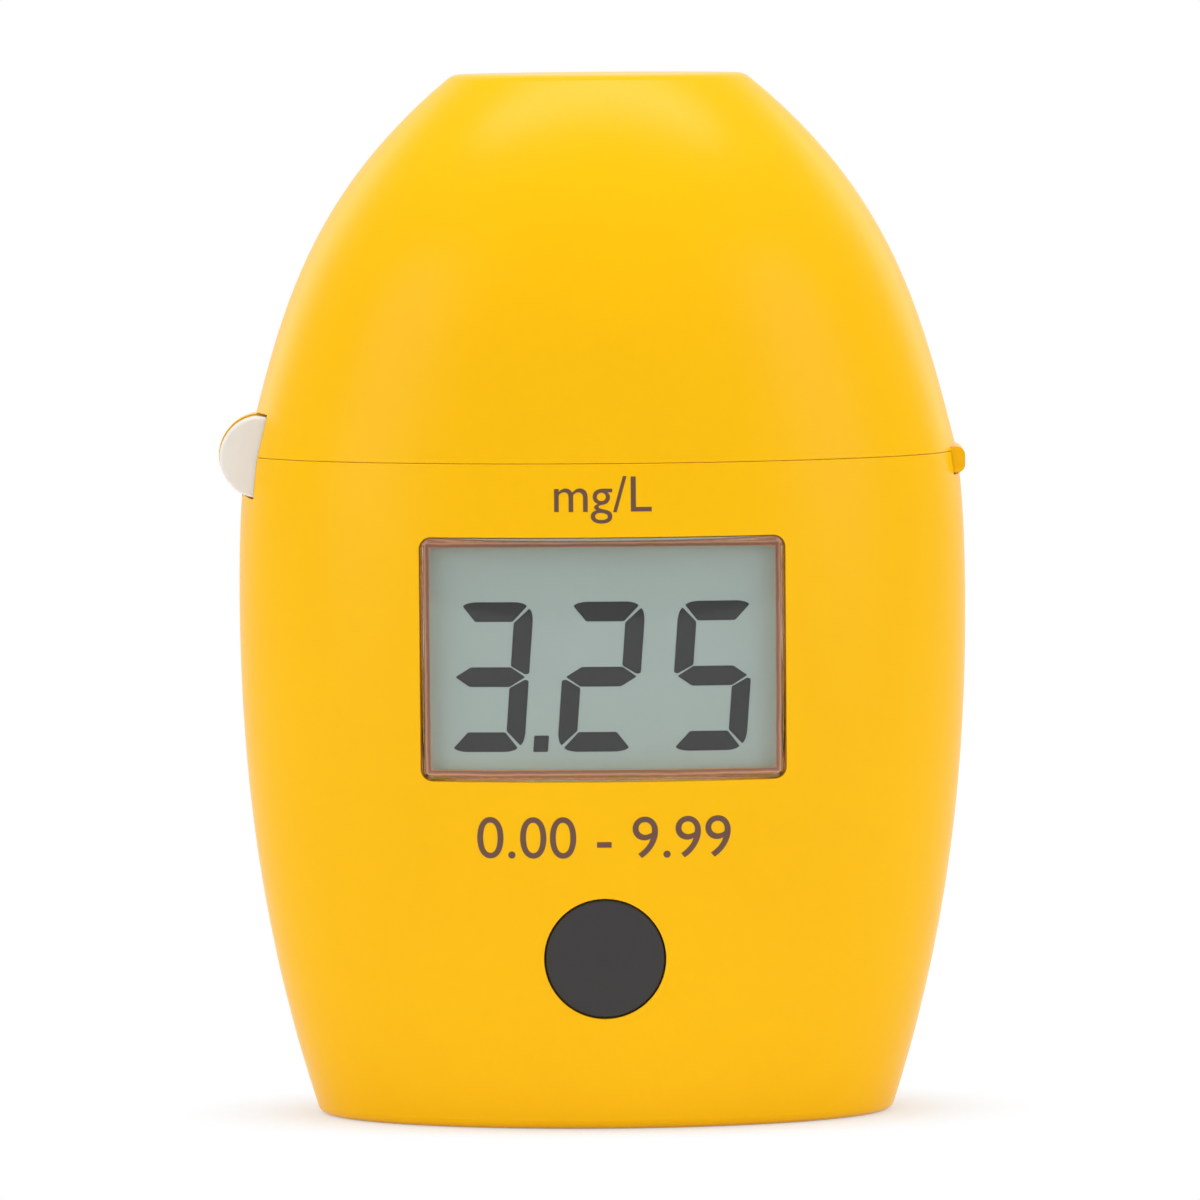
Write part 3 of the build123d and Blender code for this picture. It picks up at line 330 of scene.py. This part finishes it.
def adhesive_bead_with_painted_shade():
    """Glossy amber adhesive, painted with bands of shade and light along the rim and a glint on their crests,
    for the shaded pocket behind the lens.
    """
    material, tree, shader = new_material("adhesive", Roughness=0.3)
    skin = place_group(tree, MOULDED_SKIN, Grain_Size=0.4, Flow_Size=2.2, Rub_Size=3.0)
    low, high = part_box("window_bond")
    middle, reach = (low + high) / 2, (high - low) / 2
    place = add_node(tree, "TexCoord").outputs["Object"]
    centred = add_node(tree, "VectorMath", {0: place, 1: tuple(middle)}, operation="SUBTRACT").outputs[0]
    folded = add_node(tree, "VectorMath", {0: centred}, operation="ABSOLUTE").outputs[0]
    inward = add_node(tree, "VectorMath", {0: folded, 1: tuple(reach)}, operation="SUBTRACT").outputs[0]
    parts = add_node(tree, "SeparateXYZ", {0: inward}).outputs
    across = add_node(tree, "Math", {0: parts["X"], 1: parts["Z"]}, operation="MAXIMUM").outputs[0]
    turns = add_node(tree, "Math", {0: across, 1: 2 * math.pi / BEAD_BAND}, operation="MULTIPLY").outputs[0]
    wander = add_node(tree, "Math", {0: skin["Rub"], 1: BEAD_WANDER}, operation="MULTIPLY").outputs[0]
    wave = add_node(tree, "Math", {0: turns, 1: wander}, operation="ADD").outputs[0]
    sine = add_node(tree, "Math", {0: wave}, operation="SINE").outputs[0]
    shade_band = add_node(tree, "MapRange", {"Value": sine, "From Min": -1.0, "From Max": 1.0}).outputs[0]
    crest = {"Value": sine, "From Min": BEAD_GLINT_BEGINS, "To Max": BEAD_GLINT_MOST}
    glint = add_node(tree, "MapRange", crest).outputs[0]
    # Painted shade and light: dark brown and amber bands parallel to the rim, with a painted glint on their
    # crests.
    painted_shade_bands = mix_colours(tree, shade_band, linear(*BEAD_PAINTED_SHADE), linear(*ADHESIVE_AMBER))
    tree.links.new(mix_colours(tree, glint, painted_shade_bands, linear(*ADHESIVE_GLINT)), shader.inputs["Base Color"])
    relief = {"Height": skin["Grain"], "Distance": 0.03 * MM}
    tree.links.new(add_node(tree, "Bump", relief).outputs[0], shader.inputs["Normal"])
    return material


paint(clear_piece("clear acrylic", 0.03, 1.49, 9.0, ACRYLIC_TINT, ACRYLIC_PASSES), "display_lens")
paint(adhesive_bead_with_painted_shade(), "window_bond")


# Display panel
# Two glass plates with a grey-green reflector behind them, in a black frame.
# Dark slanted seven-segment digits stand just in front of the reflector.
LCD_GREY = (183, 201, 198)
FRAME_BLACK = (30, 30, 32)
SEGMENT_GREY = (26, 30, 29)
DIGITS = "325"
SEGMENTS_LIT = {"2": "ABDEG", "3": "ABCDG", "5": "ACDFG"}
SPARKLE = 0.22           # most that the reflector's grain darkens it
DIGIT_WIDTH = 6.2 * MM
DIGIT_HEIGHT = 12.18 * MM
DIGIT_PITCH = 8.82 * MM
DIGIT_SLANT = math.tan(math.radians(4.2))
BAR_WIDTH = 1.6 * MM
UPRIGHT_WIDTH = 1.5 * MM
SEGMENT_GAP = 0.1 * MM
SEGMENT_CORNER = 0.1 * MM
OUTER_CORNER = 1.4 * MM
MIDDLE_INSET = 0.3 * MM
SEGMENT_LIFT = 0.01 * MM
SEGMENT_THICKNESS = 0.02 * MM
DIGITS_X = -0.13 * MM
DIGITS_Z = 37.2 * MM
POINT_WIDTH = 1.17 * MM
POINT_HEIGHT = 1.33 * MM


def segment_outlines():
    """Corner points of the seven segments of a digit, from its lower left corner."""
    w, h, b, u = DIGIT_WIDTH, DIGIT_HEIGHT, BAR_WIDTH, UPRIGHT_WIDTH
    g, c = SEGMENT_GAP, OUTER_CORNER
    turns = [math.radians(22.5 * i) for i in range(5)]
    arc = [(w - c + c * math.sin(turn), h - c + c * math.cos(turn)) for turn in turns]
    half_bar = [(w / 2, h), arc[0], arc[1], (arc[2][0] - g, arc[2][1] + g), (w - u - g, h - b)]
    bar = half_bar + [(w / 2, h - b)] + [(w - x, y) for x, y in reversed(half_bar[1:])]
    upright = [arc[4], arc[3], (arc[2][0] + g, arc[2][1] - g), (w - u, h - b - g), (w - u, h / 2 + b / 2 + g)]
    upright += [(w - MIDDLE_INSET, h / 2 + 2 * g), (w, h / 2 + 3 * g)]
    tip, flat = MIDDLE_INSET, u
    middle = [(tip, h / 2), (flat, h / 2 + b / 2), (w - flat, h / 2 + b / 2)]
    middle += [(w - tip, h / 2), (w - flat, h / 2 - b / 2), (flat, h / 2 - b / 2)]
    return {
        "A": bar,
        "B": upright,
        "C": [(x, h - y) for x, y in upright],
        "D": [(x, h - y) for x, y in bar],
        "E": [(w - x, h - y) for x, y in upright],
        "F": [(w - x, y) for x, y in upright],
        "G": middle,
    }


def digit_shapes():
    """Outlines of all lit segments and the decimal point, in the plane of the panel."""
    outlines = segment_outlines()
    shapes = []
    for place, digit in enumerate(DIGITS):
        left = DIGITS_X + (place - 1) * DIGIT_PITCH - DIGIT_WIDTH / 2
        for letter in SEGMENTS_LIT[digit]:
            shapes.append([(left + x, y) for x, y in outlines[letter]])
    left = DIGITS_X - DIGIT_PITCH / 2 - POINT_WIDTH / 2
    right = left + POINT_WIDTH
    return shapes + [[(left, 0), (right, 0), (right, POINT_HEIGHT), (left, POINT_HEIGHT)]]


def lcd_digits():
    """Thin flat segments with slightly round corners, just clear of the panel's front."""
    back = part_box("lcd_panel")[0].y - SEGMENT_LIFT
    flat = bmesh.new()
    for shape in digit_shapes():
        corners = []
        for x, y in shape:
            slant = (y - DIGIT_HEIGHT / 2) * DIGIT_SLANT
            corners.append(flat.verts.new((x + slant, back, y - DIGIT_HEIGHT / 2 + DIGITS_Z)))
        flat.faces.new(corners)
    bmesh.ops.bevel(
        flat, geom=flat.verts[:], offset=SEGMENT_CORNER, segments=3, profile=0.5, affect="VERTICES"
    )
    grown = bmesh.ops.extrude_face_region(flat, geom=flat.faces[:], use_keep_orig=True)["geom"]
    moved = [item for item in grown if isinstance(item, bmesh.types.BMVert)]
    bmesh.ops.translate(flat, verts=moved, vec=(0, -SEGMENT_THICKNESS, 0))
    bmesh.ops.recalc_face_normals(flat, faces=flat.faces)
    mesh = bpy.data.meshes.new("lcd_digits")
    flat.to_mesh(mesh)
    return mesh


def lcd_glass():
    """Grey-green reflector with a fine sparkle and a slow change of tone across it."""
    material, tree, shader = new_material("lcd glass", Roughness=0.5, Specular_IOR_Level=0.2)
    skin = place_group(tree, MOULDED_SKIN, Grain_Size=0.12, Flow_Size=16.0, Rub_Size=0.5)
    grey = linear(*LCD_GREY)
    broad = mix_colours(tree, skin["Tone"], scaled(grey, 0.93), scaled(grey, 1.04))
    fine = add_node(tree, "MapRange", {"Value": skin["Grain"], "To Max": SPARKLE}).outputs[0]
    tree.links.new(mix_colours(tree, fine, broad, scaled(grey, 0.8)), shader.inputs["Base Color"])
    return material


paint(lcd_glass(), "lcd_panel")
segment_ink = toned_surface(
    "lcd segment", SEGMENT_GREY, 0.9, 1.15, flow=4.0, Roughness=0.6, Specular_IOR_Level=0.1
)
keep_piece("lcd_digits", lcd_digits(), segment_ink, "housing")
black_plastic = moulded_plastic("black plastic", FRAME_BLACK, 0.5, grain=0.1, depth=0.01, edge_wear_and_highlight=0.15)
paint(black_plastic, "lcd_frame")


# Button
# A black silicone-rubber cap, flush with the shell, with a stem behind it that
# presses the key switch on the circuit board.
BUTTON_GREY = (46, 44, 44)
button_rubber = moulded_plastic("button rubber", BUTTON_GREY, 0.55, grain=0.08, depth=0.006, edge_wear_and_highlight=0.1)
paint(button_rubber, "button_cap", "button_plunger")


# Inner deck and hinge pin
# A white moulded deck under the lid that carries the two fixed hinge knuckles.
# A plain steel pin runs through them and through the lid's knuckle.
DECK_WHITE = (240, 236, 230)
STEEL_GREY = (188, 188, 190)
TARNISH_DARK = 0.82
TARNISH_LIGHT = 1.05
POLISH_GAIN = 0.08       # handled metal is this much smoother, or rougher
POLISH_LOSS = 0.12


def machined_steel(name, screen_colour, roughness=0.3):
    """Turned or pressed metal with fine lines and faint tarnish."""
    material, tree, shader = new_material(name, Metallic=1.0)
    base = linear(*screen_colour)
    skin = place_group(tree, MOULDED_SKIN, Grain_Size=0.1, Flow_Size=5.0, Rub_Size=0.8)
    tarnish = mix_colours(tree, skin["Tone"], scaled(base, TARNISH_DARK), scaled(base, TARNISH_LIGHT))
    tree.links.new(tarnish, shader.inputs["Base Color"])
    gloss = {"Value": skin["Rub"], "To Min": roughness - POLISH_GAIN, "To Max": roughness + POLISH_LOSS}
    tree.links.new(add_node(tree, "MapRange", gloss).outputs[0], shader.inputs["Roughness"])
    edge = place_group(tree, EDGE_WEAR_AND_HIGHLIGHT, Width=0.08)
    relief = {"Height": skin["Grain"], "Distance": 0.004 * MM, "Normal": edge["Rounded"]}
    tree.links.new(add_node(tree, "Bump", relief).outputs[0], shader.inputs["Normal"])
    return material


paint(moulded_plastic("white plastic", DECK_WHITE, 0.38, edge_wear_and_highlight=0.05), "inner_deck")
steel = machined_steel("steel", STEEL_GREY)
paint(steel, "hinge_pin")


# Lid
# One yellow moulding, like the housing, with its knuckle on the left and a lifting tab on the
# right. A black liner inside keeps stray light from the cuvette.
paint(case_plastic, "lid_shell")
paint(black_plastic, "lid_liner")


# Cuvette well and its seal
# A matt black tube with a flat floor and two side ports, hung in the deck.
# A ring of black foam lies on its collar.
FOAM_GREY = (44, 44, 46)
FOAM_PORES = 3500.0      # pores in a metre
PORE_PAINTED_SHADE = 0.5
PORE_RIM_PAINTED_LIGHT = 1.5
PORE_DEPTH = 0.08 * MM


def soft_foam(name, screen_colour):
    """Closed-cell foam or rubber with small open pores, painted darker in the pores and lighter on their
    rims, as shade and light.
    """
    material, tree, shader = new_material(name, Roughness=0.9)
    base = linear(*screen_colour)
    place = add_node(tree, "TexCoord").outputs["Object"]
    cells = add_node(tree, "TexVoronoi", {"Vector": place, "Scale": FOAM_PORES}).outputs["Distance"]
    # Painted shade in the pores and painted light on the ridges between them.
    pore_shade_and_light = mix_colours(tree, cells, scaled(base, PORE_PAINTED_SHADE), scaled(base, PORE_RIM_PAINTED_LIGHT))
    tree.links.new(pore_shade_and_light, shader.inputs["Base Color"])
    relief = {"Height": cells, "Distance": PORE_DEPTH}
    tree.links.new(add_node(tree, "Bump", relief).outputs[0], shader.inputs["Normal"])
    return material


foam = soft_foam("foam", FOAM_GREY)
paint(black_plastic, "cuvette_well")
paint(foam, "light_seal")


# Cuvette, cap and liner
# A round flat-bottomed glass cuvette with a thick floor, blown in a mould.
# A ribbed black screw cap with a soft liner disc closes it.
GLASS_TINT = (0.95, 0.98, 0.97, 1.0)
GLASS_PASSES = (0.93, 0.96, 0.95, 1.0)
CAP_GREY = (38, 38, 41)
paint(clear_piece("cuvette glass", 0.02, 1.47, 12.0, GLASS_TINT, GLASS_PASSES), "cuvette_glass")
paint(moulded_plastic("cap plastic", CAP_GREY, 0.4, depth=0.008, edge_wear_and_highlight=0.3), "cuvette_cap")
paint(foam, "cap_liner")


# Light path
# A clear lamp on the left and a filtered photodiode on the right look at each other through the
# cuvette. Each sits in a black cup on its port, and tinned leads run from it to the board.
EPOXY_DARK = (0.75, 0.82, 0.9, 1.0)
EPOXY_LIGHT = (0.9, 0.93, 0.96, 1.0)
FILTER_DARK = (0.10, 0.34, 0.2, 1.0)
FILTER_LIGHT = (0.16, 0.45, 0.27, 1.0)
TIN_GREY = (206, 204, 198)
RESIN_GREY = (34, 34, 35)


def tinted_piece(name, roughness, ior, share, flow, darker, lighter):
    """Half-clear resin or glass whose tint drifts over it."""
    material, tree, shader = new_material(name, Roughness=roughness, IOR=ior, Transmission_Weight=share)
    skin = place_group(tree, MOULDED_SKIN, Flow_Size=flow)
    tint = mix_colours(tree, skin["Tone"], darker, lighter)
    tree.links.new(tint, shader.inputs["Base Color"])
    return material


paint(tinted_piece("lamp epoxy", 0.08, 1.5, 0.7, 3.0, EPOXY_DARK, EPOXY_LIGHT), "led_lamp")
paint(tinted_piece("filter glass", 0.05, 1.52, 0.6, 4.0, FILTER_DARK, FILTER_LIGHT), "optical_filter")
paint(machined_steel("tinned wire", TIN_GREY, 0.25), "led_leads", "photodiode_leads")
paint(black_plastic, "led_holder", "detector_holder")
chip_resin = moulded_plastic("chip resin", RESIN_GREY, 0.6, grain=0.06, depth=0.006, edge_wear_and_highlight=0.1)
paint(chip_resin, "photodiode")


# Circuit board
# Green board behind the display, with the controller and small parts on its back and the key
# switch on its front. Two rubber strips connect the panel to it.
BOARD_GREEN = (18, 88, 48)
TRACK_GRID = 260.0
TRACK_WIDTH = 0.05
TRACK_BRIGHTNESS = 1.9
TRACK_HEIGHT = 0.03 * MM
STRIP_GREY = (120, 120, 124)


def board_laminate():
    """Green solder mask over a faint grid of copper tracks."""
    material, tree, shader = new_material("board laminate", Roughness=0.35)
    base = linear(*BOARD_GREEN)
    place = add_node(tree, "TexCoord").outputs["Object"]
    turned = add_node(tree, "Mapping", {"Vector": place, "Rotation": (math.pi / 2, 0, 0)}).outputs[0]
    plain = (1, 1, 1, 1)
    brick = {
        "Vector": turned, "Scale": TRACK_GRID, "Mortar Size": TRACK_WIDTH,
        "Color1": plain, "Color2": plain,
    }
    tracks = add_node(tree, "TexBrick", brick).outputs["Fac"]
    tracked = mix_colours(tree, tracks, base, scaled(base, TRACK_BRIGHTNESS))
    tree.links.new(tracked, shader.inputs["Base Color"])
    relief = {"Height": tracks, "Distance": TRACK_HEIGHT}
    tree.links.new(add_node(tree, "Bump", relief).outputs[0], shader.inputs["Normal"])
    return material


paint(board_laminate(), "circuit_board")
paint(chip_resin, "board_chips", "key_switch")
paint(soft_foam("strip rubber", STRIP_GREY), "contact_strips")


# Battery, tray and contacts
# One AAA cell lies across the base in a black tray, between two plated contacts.
# Its printed sleeve leaves both metal ends bare.
SLEEVE_EDGE = 1.2 * MM
BAND_LENGTH = 12 * MM
SLEEVE_DARK = (40, 42, 48)
SLEEVE_COPPER = (186, 118, 62)
CELL_STEEL = (190, 190, 188)
WIRE_RED = (178, 34, 28)
SPRING_GREY = (212, 210, 200)


def battery_sleeve():
    """Dark printed sleeve with a copper-coloured band, bare metal at both ends."""
    material, tree, shader = new_material("battery sleeve", Roughness=0.28)
    low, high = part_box("battery")
    place = add_node(tree, "TexCoord").outputs["Object"]
    x = add_node(tree, "SeparateXYZ", {0: place}).outputs[0]
    past_low = {0: x, 1: low.x + SLEEVE_EDGE}
    below_high = {0: x, 1: high.x - 2 * SLEEVE_EDGE}
    in_band = {0: x, 1: high.x - BAND_LENGTH}
    begun = add_node(tree, "Math", past_low, operation="GREATER_THAN").outputs[0]
    unended = add_node(tree, "Math", below_high, operation="LESS_THAN").outputs[0]
    sleeve = add_node(tree, "Math", {0: begun, 1: unended}, operation="MULTIPLY").outputs[0]
    band = add_node(tree, "Math", in_band, operation="GREATER_THAN").outputs[0]
    printed = mix_colours(tree, band, linear(*SLEEVE_DARK), linear(*SLEEVE_COPPER))
    tree.links.new(mix_colours(tree, sleeve, linear(*CELL_STEEL), printed), shader.inputs["Base Color"])
    bare = add_node(tree, "Math", {0: 1.0, 1: sleeve}, operation="SUBTRACT").outputs[0]
    tree.links.new(bare, shader.inputs["Metallic"])
    return material


paint(battery_sleeve(), "battery")
insulation = toned_surface("wire sleeve", WIRE_RED, 0.8, 1.15, flow=3.0, depth=0.005, Roughness=0.42)
paint(insulation, "battery_wires")
paint(black_plastic, "battery_tray")
paint(machined_steel("plated spring", SPRING_GREY, 0.22), "contact_plus", "contact_minus")


# Battery cover
# A yellow oval cover let into the base, held by one captive screw in a brass insert.
# A foam pad on its inner face keeps the cell in place.
BRASS_YELLOW = (205, 170, 95)
paint(case_plastic, "battery_cover")
paint(foam, "battery_pad")
paint(steel, "cover_screw")
paint(machined_steel("brass", BRASS_YELLOW, 0.3), "cover_insert")


# Case and board screws
# Small zinc-plated steel screws with cross recesses, rolled and plated in bulk.
# Four clamp the case from the rear, and two hold the board.
ZINC_GREY = (176, 178, 180)
paint(machined_steel("zinc plate", ZINC_GREY, 0.35), "case_screws", "board_screws")


# Studio
# A sheet of white paper that curves up into a wall behind the object, under soft lamps.
# The lamps and the room light it so that colours come out about as written.
FLOOR_REACH = 3.0
FLOOR_DEPTH = 1.8
WALL_RADIUS = 0.5
WALL_STEPS = 12
FLOOR_FRONT = 0.55
FLOOR_WHITE = 0.92
FLOOR_DROP = 0.02 * MM
FADE_SQUASH = 0.65
FADE_START = 0.0145
FADE_END = 0.024
PAPER_GLOW = 0.45
ROOM_LIGHT = 0.57
LAMP_AIM = Vector((0, 0, 0.04))
TOP_LAMP_PLACE = (0.0, -0.03, 0.6)
TOP_LAMP_SIZE = (0.6, 0.12)
TOP_LAMP_POWER = 1.8
SIDE_LAMP_PLACE = Vector((0.85, -0.55, 0.30))
SIDE_LAMP_POWER = 2.1
BACK_LAMP_PLACE = Vector((0.7, 0.7, 0.35))
BACK_LAMP_POWER = 1.0
SIDE_LAMP_SIZE = (0.5, 0.6)
CAMERA_LENS = 337.6
CAMERA_PLACE = Vector((0.0, -0.930, 0.103))
CAMERA_TARGET = Vector((-0.0002, 0.0, 0.04242))
CAMERA_ROLL = math.radians(-0.45)


def sweep_paper():
    """White paper that keeps the shadow near the object, is plain white further off and clear from below."""
    material, tree, shader = new_material("sweep paper", Roughness=0.9, Specular_IOR_Level=0.1)
    shader.inputs["Base Color"].default_value = (FLOOR_WHITE, FLOOR_WHITE, FLOOR_WHITE, 1.0)
    place = add_node(tree, "NewGeometry").outputs["Position"]
    squash = {0: place, 1: (FADE_SQUASH, 1.0, 0.0)}
    squashed = add_node(tree, "VectorMath", squash, operation="MULTIPLY").outputs[0]
    distance = add_node(tree, "VectorMath", {0: squashed}, operation="LENGTH").outputs["Value"]
    fade = add_node(
        tree, "MapRange",
        {"Value": distance, "From Min": FADE_START, "From Max": FADE_END, "To Min": PAPER_GLOW},
        interpolation_type="SMOOTHSTEP",
    ).outputs[0]
    path = add_node(tree, "LightPath").outputs
    direct = add_node(tree, "Math", {0: path["Is Camera Ray"], 1: path["Is Glossy Ray"]}, operation="MAXIMUM")
    seen = add_node(tree, "Math", {0: direct.outputs[0], 1: path["Is Transmission Ray"]}, operation="MAXIMUM")
    share = add_node(tree, "Math", {0: fade, 1: seen.outputs[0]}, operation="MULTIPLY").outputs[0]
    white = add_node(tree, "Emission", {"Color": (1, 1, 1, 1), "Strength": 1.0})
    paper = add_node(tree, "MixShader", {0: share, 1: shader.outputs[0], 2: white.outputs[0]})
    behind = add_node(tree, "NewGeometry").outputs["Backfacing"]
    clear = add_node(tree, "BsdfTransparent")
    mixed = add_node(tree, "MixShader", {0: behind, 1: paper.outputs[0], 2: clear.outputs[0]})
    tree.links.new(mixed.outputs[0], tree.nodes["Material Output"].inputs["Surface"])
    return material


def sweep():
    """Floor that curves up into a wall far behind the object."""
    rows = [(-FLOOR_FRONT, -FLOOR_DROP), (FLOOR_DEPTH, -FLOOR_DROP)]
    for i in range(1, WALL_STEPS + 1):
        turn = math.radians(90 * i / WALL_STEPS)
        rows.append((FLOOR_DEPTH + WALL_RADIUS * math.sin(turn), WALL_RADIUS * (1 - math.cos(turn))))
    rows.append((FLOOR_DEPTH + WALL_RADIUS, FLOOR_REACH))
    shape = bmesh.new()
    pairs = []
    for y, z in rows:
        pairs.append([shape.verts.new((side * FLOOR_REACH, y, z)) for side in (-1, 1)])
    for (a, b), (c, d) in zip(pairs, pairs[1:]):
        shape.faces.new((a, b, d, c))
    mesh = bpy.data.meshes.new("sweep")
    shape.to_mesh(mesh)
    mesh.materials.append(sweep_paper())
    floor = bpy.data.objects.new("sweep", mesh)
    bpy.context.scene.collection.objects.link(floor)


def soft_lamp(name, place, size, power):
    """Rectangular lamp that points at the object."""
    lamp = bpy.data.lights.new(name, "AREA")
    lamp.shape = "RECTANGLE"
    lamp.size, lamp.size_y = size
    lamp.energy = power
    holder = bpy.data.objects.new(name, lamp)
    bpy.context.scene.collection.objects.link(holder)
    holder.location = place
    holder.rotation_euler = (LAMP_AIM - Vector(place)).to_track_quat("-Z", "Y").to_euler()


def plain_world(strength):
    """Even white light from all round."""
    world = bpy.data.worlds.new("studio")
    bpy.context.scene.world = world
    world.use_nodes = True
    background = world.node_tree.nodes["Background"]
    background.inputs["Color"].default_value = (1, 1, 1, 1)
    background.inputs["Strength"].default_value = strength


def photo_camera():
    """Camera with a long lens, in front of the object and a little above it."""
    data = bpy.data.cameras.new("photo_camera")
    data.lens = CAMERA_LENS
    data.clip_start = 0.01
    camera = bpy.data.objects.new("photo_camera", data)
    bpy.context.scene.collection.objects.link(camera)
    camera.location = CAMERA_PLACE
    aim = (CAMERA_TARGET - CAMERA_PLACE).to_track_quat("-Z", "Y")
    camera.rotation_mode = "QUATERNION"
    camera.rotation_quaternion = aim @ Quaternion((0, 0, 1), CAMERA_ROLL)
    bpy.context.scene.camera = camera


sweep()
plain_world(ROOM_LIGHT)
soft_lamp("top_lamp", TOP_LAMP_PLACE, TOP_LAMP_SIZE, TOP_LAMP_POWER)
for side, hand in ((-1, "left"), (1, "right")):
    mirror = Vector((side, 1, 1))
    soft_lamp(hand + "_lamp", mirror * SIDE_LAMP_PLACE, SIDE_LAMP_SIZE, SIDE_LAMP_POWER)
    soft_lamp(hand + "_back_lamp", mirror * BACK_LAMP_PLACE, SIDE_LAMP_SIZE, BACK_LAMP_POWER)
photo_camera()
bpy.context.scene.view_settings.view_transform = "Standard"
